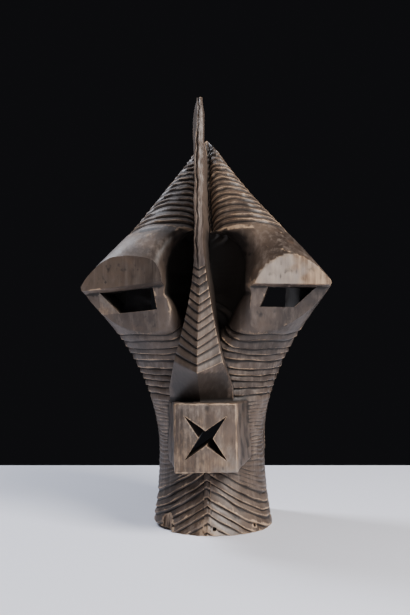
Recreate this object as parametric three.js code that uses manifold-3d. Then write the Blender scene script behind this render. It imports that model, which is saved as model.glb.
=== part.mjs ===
// Songye kifwebe mask: one carved piece of wood.
// Millimetres, +Z up. The face looks along -Y and +X is the viewer's right.
// The origin is on the surface that the chin rim stands on, in the middle of the mask's box.

import * as THREE from 'three';
import { LoftGeometry } from 'three/addons/geometries/LoftGeometry.js';
import { mergeVertices } from 'three/addons/utils/BufferGeometryUtils.js';
import Module from 'manifold-3d';

// Heights above the chin rim
const crestPeakHeight = 521;
const apexHeight = 505;
const browHeight = 301;
const neckHeight = 100;
const cheekStartHeight = 150;
const lobeStartHeight = 165;
const lobeFullHeight = 280;

// Half widths of the outline
const baseHalfWidth = 77;
const neckHalfWidth = 67;
const browHalfWidth = 151;
const neckRearHalfWidth = 64;
const browRearHalfWidth = 105;
const outlineCornerRound = 6;

// Depths of the outline: forward of the widest level of the base, and back to the open rim
const baseForward = 75;
const neckForward = 62;
const browBulge = 143;
const browWideForward = 85;
const rearDepth = 80;
const apexThickness = 5;
const apexHalfWidth = 6;

// How each stretch of the outline curves: 1 is straight, more bends late
const flareCurve = 1.85;
const roofCurve = 1.07;
const roofDepthCurve = 1.1;
const cheekCurve = 2.1;
const rearCurve = 1.6;

// Valley between each brow and the crest
const valleyForward = 28;
const valleyHalfWidth = 47;
const ridgeStripHalfWidth = 4;
const valleyFootHeight = 205;
const valleyShoulderHeight = 292;
const valleyBend = 1.35;
const valleyArchStart = 318;
const valleyArchTop = 368;
const roofValley = 45;
const roofLobe = 0.85;

// Flat brow faces, the recessed eye faces below them and the slots: parallelograms that lean
// outwards at the top. The two sides differ, as the carver left them.
const faceSplay = THREE.MathUtils.degToRad(8);
const eyeStep = 9;
const eyeFootForward = 86;
const eyeFootHeight = 234;
const browSlant = 3;
const rightFace = {
  side: 1,
  forward: 115,
  tilt: THREE.MathUtils.degToRad(2.4),
  lintel: 3.5,
  lobePeak: 0.72,
  lobeSquare: 0.15,
  slot: { height: 23.5, innerTop: 74.5, innerBottom: 66.5, outerTop: 130.5, outerBottom: 105.5 },
};
const leftFace = {
  side: -1,
  forward: 110,
  tilt: THREE.MathUtils.degToRad(5),
  lintel: 4,
  lobePeak: 0.46,
  lobeSquare: 0.5,
  slot: { height: 27.5, innerTop: 61, innerBottom: 59, outerTop: 127, outerBottom: 105 },
};

// A lobe as round as it is wide, as inside the hollow
const evenLobe = { lobePeak: 0.5, lobeSquare: 0 };

// Crest and nose
const crestHalfThickness = 4;
const crestRootHalf = 6.5;
const noseForward = 114;
const noseFootForward = 82;
const crestBow = 13;
const crestPeakForward = 105;
const crestEdgeFoot = 300;
const noseTipHeight = 199;
const noseWideHeight = 178;
const noseBridgeHeight = 350;
const noseSpread = 33.5;
const noseSpreadCurve = 1.55;
const noseFacet = 0.45;
const crestHeelDepth = 60;
const crestHeelHeight = 476;
const crestPeakDepth = 4;
const rootBite = 12;
const crestShift = -5;

// Mouth box, flared towards its root, and its pierced star
const mouthBottom = 82;
const mouthTop = 164;
const mouthForward = 110;
const mouthHalfWidth = 37;
const mouthWaistHalfWidth = 43;
const mouthWaistForward = 54;
const mouthRootHalfWidth = 58;
const mouthRootForward = 24;
const mouthRootShrink = 0.1;
const starReachX = 25;
const starReachZ = 26;
const starWaist = 8.5;
const mouthShift = 4;

// Walls of the hollow
const wall = 14;
const roofWall = 22;
const sideWall = 20;
const eyeWallForward = 70;
const cavityTop = 462;
const cavityRows = 17;

// Attachment holes along the chin rim and the broken-out one
const rimHoleDiameter = 5;
const rimHoleHeight = 8;
const rimHoleSpacing = 58;
const rimHoleTurn = THREE.MathUtils.degToRad(7);
const rimHolesEachSide = 2;
const chipTurn = THREE.MathUtils.degToRad(-44);
const chipWidth = 18;
const chipHeight = 29;

// How far the roof's apex leans to the left, and the neck's sway
const roofLean = -15;
const neckSway = -2.5;

// Carved lines: where each band starts and ends on the front, how many lines, how deep
const chinBand = { from: -26, to: 64, count: 9, depth: 1.8 };
const neckBand = { from: 64, to: 160, count: 8, depth: 0.8 };
const cheekBand = { from: 160, to: 243, count: 10, depth: 1.9 };
const hornBand = { from: 374, to: 497, count: 15, depth: 1.7 };
const plainRows = 11;
const noseLines = 12;
const noseLinesTop = 320;
const noseLineDepth = 1.6;
const noseLineRise = 0.65;
const noseTipRise = 0.4;
const crestRows = 12;
const chevronFall = 45;
const chevronStart = 55;
const chevronEnd = 105;
const smileRise = 46;
const smileOuterRise = 8;
const smileFoot = 165;
const smileTop = 240;
const ringFall = 34;
const ringOuterFall = 45;
const troughPlace = 0.7;

// Shares of a half ring: where the valley ends, where the arc ends and where lines turn
const valleyShare = 0.12;
const arcShare = 0.74;
const turnShare = 0.4;

// Columns round one half of a ring: valley, brow arc, side
const valleyColumns = 3;
const arcColumns = 11;
const sideColumns = 4;

const wasm = await Module();
wasm.setup();

function share(value, low, high) {
  return THREE.MathUtils.clamp((value - low) / (high - low), 0, 1);
}

function ease(value, low, high) {
  return THREE.MathUtils.smoothstep(value, low, high);
}

function softLower(a, b, round) {
  return (a + b - Math.hypot(a - b, round)) / 2;
}

function softUpper(a, b, round) {
  return (a + b + Math.hypot(a - b, round)) / 2;
}

// A closed geometry as a solid: shared corners merged, triangles of no area dropped
function solidOf(geometry) {
  const bare = new THREE.BufferGeometry();
  bare.setAttribute('position', geometry.attributes.position);
  bare.setIndex(geometry.index);
  const merged = mergeVertices(bare, 1e-4);
  const index = merged.index.array;
  const triangles = [];
  for (let i = 0; i < index.length; i += 3) {
    const [a, b, c] = [index[i], index[i + 1], index[i + 2]];
    if (a !== b && b !== c && c !== a) triangles.push(a, b, c);
  }
  return new wasm.Manifold(new wasm.Mesh({
    numProp: 3,
    vertProperties: new Float32Array(merged.attributes.position.array),
    triVerts: new Uint32Array(triangles),
  }));
}

// Sizes of the outer form at height z. The lower half widths flare out of the neck, the upper ones
// run in a nearly straight line to the apex, and the two meet in the pointed end of the brow.
function headSizes(z) {
  const foot = Math.max(neckHeight - z, 0) / neckHeight;
  const flare = Math.max(z - neckHeight, 0) / (browHeight - neckHeight);
  const cheek = Math.max(z - cheekStartHeight, 0) / (browHeight - cheekStartHeight);
  const roof = (z - browHeight) / (apexHeight - browHeight);
  const roofLeft = Math.max(1 - roof, 0);
  const roofBack = Math.sign(roof) * Math.abs(roof) ** roofDepthCurve;
  const apexDepth = rearDepth - apexThickness;
  const lowerWide = neckHalfWidth + (baseHalfWidth - neckHalfWidth) * foot ** 2
    + (browHalfWidth - neckHalfWidth) * flare ** flareCurve;
  const upperWide = browHalfWidth * roofLeft ** roofCurve + apexHalfWidth * Math.max(roof, 0) ** 4;
  const lowerFront = -neckForward - (baseForward - neckForward) * foot ** 2
    - (browBulge - neckForward) * cheek ** cheekCurve;
  const upperFront = -browBulge + (browBulge + apexDepth) * roofBack;
  const front = softUpper(lowerFront, upperFront, outlineCornerRound);
  const lowerWideDepth = -browWideForward * flare ** flareCurve;
  const upperWideDepth = -browWideForward + (browWideForward + apexDepth) * roof;
  const wideDepth = Math.max(lowerWideDepth, upperWideDepth, front + 2);
  const wide = Math.max(softLower(lowerWide, upperWide, outlineCornerRound), 2);
  const arch = Math.sqrt(1 - share(z, valleyArchStart, valleyArchTop) ** 2);
  const valley = share(z, valleyFootHeight, valleyShoulderHeight) ** 1.5 * arch;
  const high = ease(z, valleyArchStart, valleyArchTop);
  const valleyFloor = z < browHeight
    ? -valleyForward
    : Math.max(-valleyForward, front + roofValley * roofLeft);
  const rearRise = ease(z, neckHeight / 2, browHeight);
  const rear = z < browHeight
    ? neckRearHalfWidth + (browRearHalfWidth - neckRearHalfWidth) * rearRise
    : browRearHalfWidth * Math.max(1 - roof ** rearCurve, 0);
  return {
    wide,
    front,
    wideDepth,
    startX: Math.min(ridgeStripHalfWidth + (valleyHalfWidth - ridgeStripHalfWidth) * valley, wide * 0.4),
    lobe: ease(z, lobeStartHeight, lobeFullHeight) * (1 - (1 - roofLobe) * high),
    peakRise: ease(z, valleyFootHeight, browHeight),
    valley,
    valleyFloor,
    valleySink: share(z, valleyFootHeight, valleyShoulderHeight) ** 1.6,
    rear: Math.min(rear, wide - 0.5),
    rearEnd: rearDepth,
  };
}

// Sizes of the hollow at height z: the outer sizes less the walls, kept behind the eye faces
function cavitySizes(z) {
  const outer = headSizes(z);
  const high = ease(z, cheekStartHeight, browHeight);
  const front = Math.max(outer.front + wall + (roofWall - wall) * high, -eyeWallForward);
  const rear = Math.max(outer.rear - wall, 3);
  const wide = Math.max(Math.min(outer.wide - wall - (sideWall - wall) * high, rear + 22), rear + 0.5);
  return {
    wide,
    front,
    wideDepth: Math.max(0.5 * outer.wideDepth + wall, front + 6),
    startX: Math.min(1.25 * outer.startX, wide * 0.55),
    lobe: outer.lobe,
    peakRise: 0,
    valley: 0,
    valleyFloor: outer.valleyFloor + wall,
    valleySink: outer.valleySink,
    rear,
    rearEnd: rearDepth + 10,
  };
}

// Point at share u round one half of the section: from the middle along the valley, up its wall,
// round the brow's lobe to the widest place, then back to the rim. The lobe stands out furthest
// at the face's lobe peak, a share of the way from the valley to the outline.
function halfSection(size, u, { lobePeak, lobeSquare }) {
  const square = 1 - lobeSquare * size.valley;
  const peak = THREE.MathUtils.lerp(0.5, lobePeak, size.peakRise);
  const centreX = size.lobe * THREE.MathUtils.lerp(size.startX, size.wide, peak);
  const outerReach = size.wide - centreX;
  const innerReach = Math.max(THREE.MathUtils.lerp(outerReach, centreX - size.startX, size.lobe), 0.5);
  const reachY = size.wideDepth - size.front;
  const startAngle = Math.acos(THREE.MathUtils.clamp((centreX - size.startX) / innerReach, -1, 1));
  const startDepth = size.wideDepth - reachY * Math.sin(startAngle) ** square;
  if (u < valleyShare) {
    const turn = u / valleyShare * Math.PI / 2;
    const sunk = THREE.MathUtils.lerp(startDepth, Math.max(size.valleyFloor, startDepth), size.valleySink);
    const valleyDepth = Math.min(sunk, size.rearEnd - 2);
    return [
      size.startX * Math.sin(turn) ** valleyBend,
      valleyDepth + (startDepth - valleyDepth) * (1 - Math.max(Math.cos(turn), 0) ** valleyBend),
    ];
  }
  if (u < arcShare) {
    const angle = startAngle + (Math.PI - startAngle) * (u - valleyShare) / (arcShare - valleyShare);
    const across = Math.cos(angle);
    const reach = across > 0 ? -innerReach : outerReach;
    return [
      centreX + reach * Math.abs(across) ** square,
      size.wideDepth - reachY * Math.max(Math.sin(angle), 0) ** square,
    ];
  }
  const back = (u - arcShare) / (1 - arcShare);
  return [
    size.rear + (size.wide - size.rear) * (1 - back * back),
    size.wideDepth + (size.rearEnd - size.wideDepth) * back,
  ];
}

// Height of a carved line: chevrons on the chin, smiles under the eyes, hoops over the brows
function lineHeight(level, u) {
  const inner = Math.max(1 - u / turnShare, 0) ** 2;
  const outer = Math.max((u - turnShare) / (1 - turnShare), 0) ** 2;
  const chevron = 1 - ease(level, chevronStart, chevronEnd);
  const strip = ridgeStripHalfWidth / baseHalfWidth;
  const across = strip * share(u, 0, valleyShare) + (1 - strip) * share(u, valleyShare, arcShare);
  const smile = ease(level, smileFoot, smileTop) * (1 - ease(level, smileTop, browHeight));
  const hoop = ease(level, browHeight, hornBand.from)
    * (1 - 0.75 * ease(level, hornBand.from, apexHeight));
  return level + chevronFall * chevron * (0.5 - Math.sin(Math.PI / 2 * across))
    + inner * (smileRise * smile - ringFall * hoop)
    + outer * (smileOuterRise * smile - ringOuterFall * hoop);
}

function headPoint(level, u, face) {
  const z = Math.min(lineHeight(level, u), apexHeight - 2);
  const [x, y] = halfSection(headSizes(z), u, face);
  return new THREE.Vector3(x, y, z);
}

// The same point, sunk below the surface along its normal by the depth of a carved line
function carvedPoint(level, u, depth, face) {
  const point = headPoint(level, u, face);
  if (depth === 0 || u > 0.99) return point;
  const step = 0.01;
  const after = headPoint(level, u + step, face);
  const along = after.sub(headPoint(level, Math.max(u - step, 0), face));
  const up = headPoint(level + 2, u, face).sub(headPoint(level - 2, u, face));
  const normal = along.cross(up).normalize();
  const onCheek = ease(level, chinBand.to, cheekBand.from);
  const fade = THREE.MathUtils.lerp(1, share(u, 0, valleyShare), onCheek);
  return point.addScaledVector(normal, -depth * fade);
}

// A band's lines as rows: a ridge and a trough for each line
function bandRows(band) {
  const pitch = (band.to - band.from) / band.count;
  const rows = [];
  for (let line = 0; line < band.count; line += 1) {
    rows.push({ level: band.from + line * pitch, depth: 0 });
    rows.push({ level: band.from + (line + troughPlace) * pitch, depth: band.depth });
  }
  return rows;
}

function halfColumns() {
  const columns = [];
  for (let i = 0; i < valleyColumns; i += 1) {
    columns.push(valleyShare * i / valleyColumns);
  }
  for (let i = 0; i < arcColumns; i += 1) {
    columns.push(THREE.MathUtils.lerp(valleyShare, arcShare, i / arcColumns));
  }
  for (let i = 0; i <= sideColumns; i += 1) {
    columns.push(THREE.MathUtils.lerp(arcShare, 1, i / sideColumns));
  }
  return columns;
}

// A whole ring from its two halves, each made by a function of the column's share and the side's
// face: from the middle of the mask round the right side to the rim, and back round the left
function wholeRing(halfPoint) {
  const columns = halfColumns();
  const right = columns.map((u) => halfPoint(u, rightFace));
  const left = columns.slice(1).reverse().map((u) => halfPoint(u, leftFace));
  return [...right, ...left.map((point) => new THREE.Vector3(-point.x, point.y, point.z))];
}

function collapsedRing(ring, x, y, z) {
  return ring.map(() => new THREE.Vector3(x, y, z));
}

function headSolid() {
  const rows = [...bandRows(chinBand), ...bandRows(neckBand), ...bandRows(cheekBand)];
  for (let row = 0; row < plainRows; row += 1) {
    rows.push({ level: THREE.MathUtils.lerp(cheekBand.to, hornBand.from, row / plainRows), depth: 0 });
  }
  rows.push(...bandRows(hornBand));
  const rings = rows.map((row) => (
    wholeRing((u, face) => carvedPoint(row.level, u, row.depth, face))
  ));
  rings.unshift(collapsedRing(rings[0], 0, 0, -neckHeight));
  rings.push(collapsedRing(rings[0], 0, rearDepth - apexThickness / 2, apexHeight));
  return solidOf(new LoftGeometry(rings));
}

function cavitySolid() {
  const rings = [];
  for (let row = 0; row <= cavityRows; row += 1) {
    const z = THREE.MathUtils.lerp(-10, cavityTop, row / cavityRows);
    const size = cavitySizes(z);
    rings.push(wholeRing((u) => new THREE.Vector3(...halfSection(size, u, evenLobe), z)));
  }
  rings.unshift(collapsedRing(rings[0], 0, 0, -12));
  rings.push(collapsedRing(rings[0], 0, rearDepth + 5, cavityTop + 6));
  return solidOf(new LoftGeometry(rings));
}

// Sizes of the crest and nose at height z: a prow with a ridge, two facets and two cheeks
function prowSizes(z) {
  const underside = share(z, mouthTop, noseTipHeight);
  const rise = share(z, crestEdgeFoot, crestPeakHeight);
  const bow = crestBow * Math.sin(Math.PI * rise);
  const ridge = z < noseTipHeight
    ? -THREE.MathUtils.lerp(noseFootForward, noseForward, underside)
    : -noseForward - bow + (noseForward - crestPeakForward) * rise ** 2;
  const spread = noseSpread * share(z, noseBridgeHeight, noseWideHeight) ** noseSpreadCurve;
  const half = crestHalfThickness * (1 - 0.35 * ease(z, apexHeight, crestPeakHeight)) + spread;
  const fall = (crestPeakForward + crestHeelDepth) / (crestPeakHeight - crestHeelHeight);
  const heel = -crestPeakForward + crestPeakDepth + (crestPeakHeight - z) * fall;
  const outer = headSizes(Math.min(z, apexHeight - 2));
  const [, valley] = halfSection(outer, 0, evenLobe);
  const facet = noseFacet * half;
  return { ridge, half, facet, back: Math.max(Math.min(valley + rootBite, heel), ridge + facet + 2) };
}

function prowRing(level, depth) {
  const flat = prowSizes(level);
  const fade = 1 - ease(level, noseLinesTop - 10, noseBridgeHeight);
  const tipRise = noseTipRise * share(level, mouthTop, noseTipHeight);
  const rise = THREE.MathUtils.lerp(tipRise, noseLineRise, ease(level, noseTipHeight, noseTipHeight + 40));
  const z = Math.min(level + rise * flat.half * fade, crestPeakHeight);
  const edge = prowSizes(z);
  const root = Math.max(edge.half, crestRootHalf * (1 - 0.5 * ease(level, apexHeight, crestPeakHeight)));
  const right = [
    new THREE.Vector3(edge.half, edge.ridge + edge.facet + depth, z),
    new THREE.Vector3(root, (edge.ridge + edge.facet + edge.back) / 2, z),
    new THREE.Vector3(root, edge.back, z),
  ];
  const ridge = new THREE.Vector3(0, flat.ridge + depth, level);
  const left = right.slice().reverse().map((point) => new THREE.Vector3(-point.x, point.y, point.z));
  return [ridge, ...right, ...left];
}

function prowSolid() {
  const rows = [[mouthTop - 6, 0], [(mouthTop + noseTipHeight) / 2, 0]];
  const pitch = (noseLinesTop - noseTipHeight) / noseLines;
  for (let line = 0; line < noseLines; line += 1) {
    rows.push([noseTipHeight + line * pitch, 0]);
    rows.push([noseTipHeight + (line + troughPlace) * pitch, noseLineDepth]);
  }
  for (let row = 0; row <= crestRows; row += 1) {
    rows.push([THREE.MathUtils.lerp(noseLinesTop, crestPeakHeight - 1, row / crestRows), 0]);
  }
  const rings = rows.map(([level, depth]) => prowRing(level, depth));
  const last = rings[rings.length - 1];
  rings.unshift(collapsedRing(last, 0, -neckForward, mouthTop - 7));
  rings.push(collapsedRing(last, 0, -crestPeakForward + crestPeakDepth / 2, crestPeakHeight));
  return solidOf(new LoftGeometry(rings)).translate(crestShift, 0, 0);
}

// A prism along Y from outline points given as [x, z], between two depths
function frontPrism(points, frontDepth, backDepth) {
  const outline = new THREE.Shape(points.map(([x, z]) => new THREE.Vector2(x, z)));
  const prism = new THREE.ExtrudeGeometry(outline, { depth: backDepth - frontDepth, bevelEnabled: false });
  prism.rotateX(Math.PI / 2);
  prism.translate(0, backDepth, 0);
  return prism;
}

// Mouth box: its plan flares in a hollow curve to the neck, and its height shrinks to the root
function mouthSolid() {
  const plan = new THREE.Shape();
  plan.moveTo(-mouthHalfWidth, -mouthForward);
  plan.lineTo(mouthHalfWidth, -mouthForward);
  plan.quadraticCurveTo(mouthWaistHalfWidth, -mouthWaistForward, mouthRootHalfWidth, -mouthRootForward);
  plan.lineTo(-mouthRootHalfWidth, -mouthRootForward);
  plan.quadraticCurveTo(-mouthWaistHalfWidth, -mouthWaistForward, -mouthHalfWidth, -mouthForward);
  const height = mouthTop - mouthBottom;
  const box = new THREE.ExtrudeGeometry(plan, { depth: height, bevelEnabled: false, curveSegments: 6 });
  box.translate(0, 0, -height / 2);
  const position = box.attributes.position;
  for (let i = 0; i < position.count; i += 1) {
    const back = share(position.getY(i), -mouthForward, -mouthRootForward);
    position.setX(i, position.getX(i) + mouthShift * (1 - back));
    position.setZ(i, position.getZ(i) * (1 - mouthRootShrink * back));
  }
  box.translate(0, 0, mouthBottom + height / 2);
  return solidOf(box);
}

function starSolid() {
  const points = [];
  for (let arm = 0; arm < 4; arm += 1) {
    const tip = Math.PI / 4 + arm * Math.PI / 2;
    const waist = tip + Math.PI / 4;
    points.push([starReachX * Math.sign(Math.cos(tip)), starReachZ * Math.sign(Math.sin(tip))]);
    points.push([starWaist * Math.round(Math.cos(waist)), starWaist * Math.round(Math.sin(waist))]);
  }
  const star = frontPrism(points, -mouthForward - 20, -neckForward + wall + 10);
  star.translate(mouthShift, 0, (mouthBottom + mouthTop) / 2);
  return solidOf(star);
}

// The cut in front of one brow: flat brow face, small lintel below it, then the sloping eye face
function browCutter({ side, forward, tilt, lintel }) {
  const clear = browBulge + 60;
  const profile = new THREE.Shape([
    new THREE.Vector2(forward, browHeight),
    new THREE.Vector2(forward - eyeStep, browHeight - lintel),
    new THREE.Vector2(eyeFootForward, eyeFootHeight),
    new THREE.Vector2(clear, eyeFootHeight - 20),
    new THREE.Vector2(clear, apexHeight),
    new THREE.Vector2(forward, apexHeight),
  ]);
  const length = browHalfWidth - ridgeStripHalfWidth + 30;
  const cutter = new THREE.ExtrudeGeometry(profile, { depth: length, bevelEnabled: false });
  cutter.rotateX(Math.PI / 2);
  cutter.rotateZ(-Math.PI / 2);
  cutter.translate(ridgeStripHalfWidth + 10 + length, 0, 0);
  return placeOnFace(cutter, side, forward, tilt, faceSplay);
}

// A slot runs straight back through its eye face
function eyeSlot({ side, forward, tilt, lintel, slot }) {
  const top = browHeight - lintel;
  const bottom = top - slot.height;
  const prism = frontPrism([
    [slot.innerBottom, bottom],
    [slot.outerBottom, bottom],
    [slot.outerTop, top],
    [slot.innerTop, top],
  ], -forward - 20, -valleyForward + wall);
  return placeOnFace(prism, side, forward, tilt, 0);
}

// Turns a cutter to its face's splay and tilt about the middle of the brow's lower edge
function placeOnFace(geometry, side, forward, tilt, splay) {
  const middle = (valleyHalfWidth + browHalfWidth) / 2;
  geometry.translate(-middle, forward, -browHeight);
  geometry.rotateY(tilt);
  geometry.rotateZ(splay);
  geometry.translate(middle, -forward, browHeight);
  const solid = solidOf(geometry);
  return side > 0 ? solid : solid.mirror([1, 0, 0]);
}

// Holes through the chin rim, one every spacing along it, and the chip where one broke out
function rimCuts() {
  const cuts = [];
  for (let place = -rimHolesEachSide; place <= rimHolesEachSide; place += 1) {
    const angle = rimHoleTurn + place * rimHoleSpacing / baseHalfWidth;
    const hole = new THREE.CylinderGeometry(rimHoleDiameter / 2, rimHoleDiameter / 2, 4 * wall, 10);
    hole.rotateZ(angle);
    hole.translate(
      (baseHalfWidth - wall / 2) * Math.sin(angle),
      -(baseForward - wall / 2) * Math.cos(angle),
      rimHoleHeight,
    );
    cuts.push(solidOf(hole));
  }
  const chip = new THREE.CylinderGeometry(chipWidth / 3, chipWidth / 2, chipHeight, 7);
  chip.rotateX(Math.PI / 2);
  chip.rotateZ(chipTurn);
  chip.translate(
    baseHalfWidth * Math.sin(chipTurn),
    -(baseForward - 2) * Math.cos(chipTurn),
    chipHeight / 2 - 2,
  );
  cuts.push(solidOf(chip));
  return cuts;
}

function groundBlock() {
  const block = new THREE.BoxGeometry(4 * browHalfWidth, 4 * browHalfWidth, 2 * neckHeight);
  block.translate(0, 0, -neckHeight);
  return solidOf(block);
}

// The hand-carved lean: the neck sways, the roof leans the more the further back it lies, and the
// right brow stands higher than the left
function lean(geometry) {
  const position = geometry.attributes.position;
  for (let i = 0; i < position.count; i += 1) {
    const [x, y, z] = [position.getX(i), position.getY(i), position.getZ(i)];
    const sway = neckSway * ease(z, 0, lobeStartHeight) * (1 - ease(z, valleyFootHeight, browHeight));
    const back = share(y, -crestPeakForward, 0);
    const roof = share(z, browHeight, apexHeight);
    const outward = Math.sign(x) * share(Math.abs(x), valleyHalfWidth, browHalfWidth);
    const bump = ease(z, cheekStartHeight, browHeight) * (1 - ease(z, browHeight + 20, apexHeight));
    position.setX(i, x + sway + roofLean * roof * back);
    position.setZ(i, z + browSlant * outward * bump);
  }
}

function maskGeometry() {
  let mask = headSolid();
  for (const face of [rightFace, leftFace]) {
    mask = mask.subtract(browCutter(face));
  }
  mask = mask.add(prowSolid()).add(mouthSolid());
  mask = mask.subtract(cavitySolid()).subtract(starSolid()).subtract(groundBlock());
  for (const face of [rightFace, leftFace]) {
    mask = mask.subtract(eyeSlot(face));
  }
  for (const cut of rimCuts()) {
    mask = mask.subtract(cut);
  }
  const mesh = mask.getMesh();
  const geometry = new THREE.BufferGeometry();
  geometry.setAttribute('position', new THREE.BufferAttribute(new Float32Array(mesh.vertProperties), 3));
  geometry.setIndex(new THREE.BufferAttribute(new Uint32Array(mesh.triVerts), 1));
  lean(geometry);
  geometry.computeBoundingBox();
  const middle = geometry.boundingBox.getCenter(new THREE.Vector3());
  geometry.translate(-middle.x, -middle.y, 0);
  geometry.computeVertexNormals();
  return geometry;
}

const carvedWood = new THREE.MeshStandardMaterial({ color: 0x57493f, roughness: 0.72, metalness: 0 });

const mask = new THREE.Mesh(maskGeometry(), carvedWood);
mask.name = 'kifwebe_mask';

const object = new THREE.Group();
object.add(mask);

export default object;
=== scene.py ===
"""Dresses the carved kifwebe mask: one piece of dark, worn wood with carved parallel lines."""

import math
from types import SimpleNamespace

import bpy
import numpy as np
from bpy.props import FloatProperty, FloatVectorProperty, PointerProperty
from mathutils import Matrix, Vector


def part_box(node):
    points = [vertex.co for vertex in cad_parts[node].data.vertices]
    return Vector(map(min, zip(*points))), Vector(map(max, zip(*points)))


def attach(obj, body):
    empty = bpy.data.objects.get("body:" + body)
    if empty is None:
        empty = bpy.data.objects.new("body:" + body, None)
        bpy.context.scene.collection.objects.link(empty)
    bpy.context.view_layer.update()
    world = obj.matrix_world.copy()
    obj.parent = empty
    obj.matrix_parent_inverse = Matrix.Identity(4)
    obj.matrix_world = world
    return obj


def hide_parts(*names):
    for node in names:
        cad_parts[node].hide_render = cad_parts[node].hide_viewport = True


bl_info = {
    "name": "Carved Kifwebe Mask",
    "version": (1, 0, 0),
    "blender": (4, 5, 0),
    "location": "View3D > Sidebar > Mask",
    "description": "Carves and finishes a crested wooden face mask and sets its stage",
    "category": "Object",
}

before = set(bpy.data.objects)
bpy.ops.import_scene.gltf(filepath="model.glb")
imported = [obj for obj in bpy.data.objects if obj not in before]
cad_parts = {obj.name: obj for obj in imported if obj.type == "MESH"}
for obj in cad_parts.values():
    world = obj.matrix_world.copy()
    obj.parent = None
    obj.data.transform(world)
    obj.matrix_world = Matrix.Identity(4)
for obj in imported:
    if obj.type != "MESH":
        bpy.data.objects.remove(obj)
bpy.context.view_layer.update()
NODE = "kifwebe_mask"
LOW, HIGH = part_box(NODE)

# The carving is worked out in millimetres and put into meshes in metres.
MM = 0.001

# Heights above the chin rim
CREST_PEAK_HEIGHT = HIGH.z / MM
APEX_HEIGHT = 505.0
BROW_HEIGHT = 301.0
NECK_HEIGHT = 100.0
CHEEK_START_HEIGHT = 150.0
LOBE_START_HEIGHT = 165.0
LOBE_FULL_HEIGHT = 280.0

# Half widths of the outline
BASE_HALF_WIDTH = 77.0
NECK_HALF_WIDTH = 67.0
BROW_HALF_WIDTH = 151.0
NECK_REAR_HALF_WIDTH = 64.0
BROW_REAR_HALF_WIDTH = 105.0
OUTLINE_CORNER_ROUND = 6.0

# Depths of the outline, forward of the widest level of the base and back to the open rim
BASE_FORWARD = 75.0
NECK_FORWARD = 62.0
BROW_BULGE = 143.0
BROW_WIDE_FORWARD = 85.0
REAR_DEPTH = 80.0
APEX_THICKNESS = 5.0
APEX_HALF_WIDTH = 6.0

# How each stretch of the outline curves: 1 is straight, more bends late
FLARE_CURVE = 1.85
ROOF_CURVE = 1.07
ROOF_DEPTH_CURVE = 1.1
CHEEK_CURVE = 2.1
REAR_CURVE = 1.6

# Valley between each brow and the crest
VALLEY_FORWARD = 28.0
VALLEY_HALF_WIDTH = 47.0
RIDGE_STRIP_HALF_WIDTH = 4.0
VALLEY_FOOT_HEIGHT = 205.0
VALLEY_SHOULDER_HEIGHT = 292.0
VALLEY_BEND = 1.35
VALLEY_WIDTH_CURVE = 1.5
VALLEY_SINK_CURVE = 1.6
VALLEY_ARCH_START = 318.0
VALLEY_ARCH_TOP = 368.0
ROOF_VALLEY = 45.0
ROOF_LOBE = 0.85

# Flat brow faces, the recessed eye faces below them and the slots: parallelograms that lean
# outwards at the top, given as inner top, inner bottom, outer top and outer bottom
FACE_SPLAY = math.radians(8)
EYE_STEP = 9.0
EYE_FOOT_FORWARD = 86.0
EYE_FOOT_HEIGHT = 234.0
BROW_SLANT = 3.0
RIGHT_FACE = {
    "side": 1,
    "forward": 115.0,
    "tilt": math.radians(2.4),
    "lintel": 3.5,
    "slot_height": 23.5,
    "slot": (74.5, 66.5, 130.5, 105.5),
}
LEFT_FACE = {
    "side": -1,
    "forward": 110.0,
    "tilt": math.radians(5),
    "lintel": 4.0,
    "slot_height": 27.5,
    "slot": (61.0, 59.0, 127.0, 105.0),
}

# Each lobe's peak, as a share of the way from the valley to the outline, and its squareness
RIGHT_LOBE = (0.72, 0.15)
LEFT_LOBE = (0.46, 0.5)
EVEN_LOBE = (0.5, 0.0)

# Crest and nose
CREST_HALF_THICKNESS = 5.0
CREST_ROOT_HALF = 6.5
NOSE_FORWARD = 114.0
NOSE_FOOT_FORWARD = 82.0
CREST_BOW = 13.0
CREST_PEAK_FORWARD = 105.0
CREST_EDGE_FOOT = 300.0
NOSE_TIP_HEIGHT = 199.0
NOSE_WIDE_HEIGHT = 178.0
NOSE_BRIDGE_HEIGHT = 350.0
NOSE_SPREAD = 33.5
NOSE_SPREAD_CURVE = 1.55
NOSE_FACET = 0.45
CREST_HEEL_DEPTH = 60.0
CREST_HEEL_HEIGHT = 476.0
CREST_PEAK_DEPTH = 4.0
ROOT_BITE = 12.0
CREST_SHIFT = -5.0
CRACK_PLACE = -2.0

# Mouth box, flared towards its root, and its pierced star
MOUTH_BOTTOM = 82.0
MOUTH_TOP = 164.0
MOUTH_FORWARD = 110.0
MOUTH_HALF_WIDTH = 37.0
MOUTH_WAIST_HALF_WIDTH = 43.0
MOUTH_WAIST_FORWARD = 54.0
MOUTH_ROOT_HALF_WIDTH = 58.0
MOUTH_ROOT_FORWARD = 24.0
MOUTH_ROOT_SHRINK = 0.1
MOUTH_EDGE_START = 0.95
MOUTH_EDGE_PULL = 0.014
MOUTH_FLOOR_SLOPE = 0.035
MOUTH_ROOF_SLOPE = 0.012
STAR_REACH_X = 25.0
STAR_REACH_Z = 26.0
STAR_WAIST = 8.5
MOUTH_SHIFT = 4.0

# Walls of the hollow, and how much wider than its open back it may be
WALL = 14.0
ROOF_WALL = 22.0
SIDE_WALL = 20.0
EYE_WALL_FORWARD = 70.0
CAVITY_TOP = 462.0
HOLLOW_FLARE = 22.0

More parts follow.
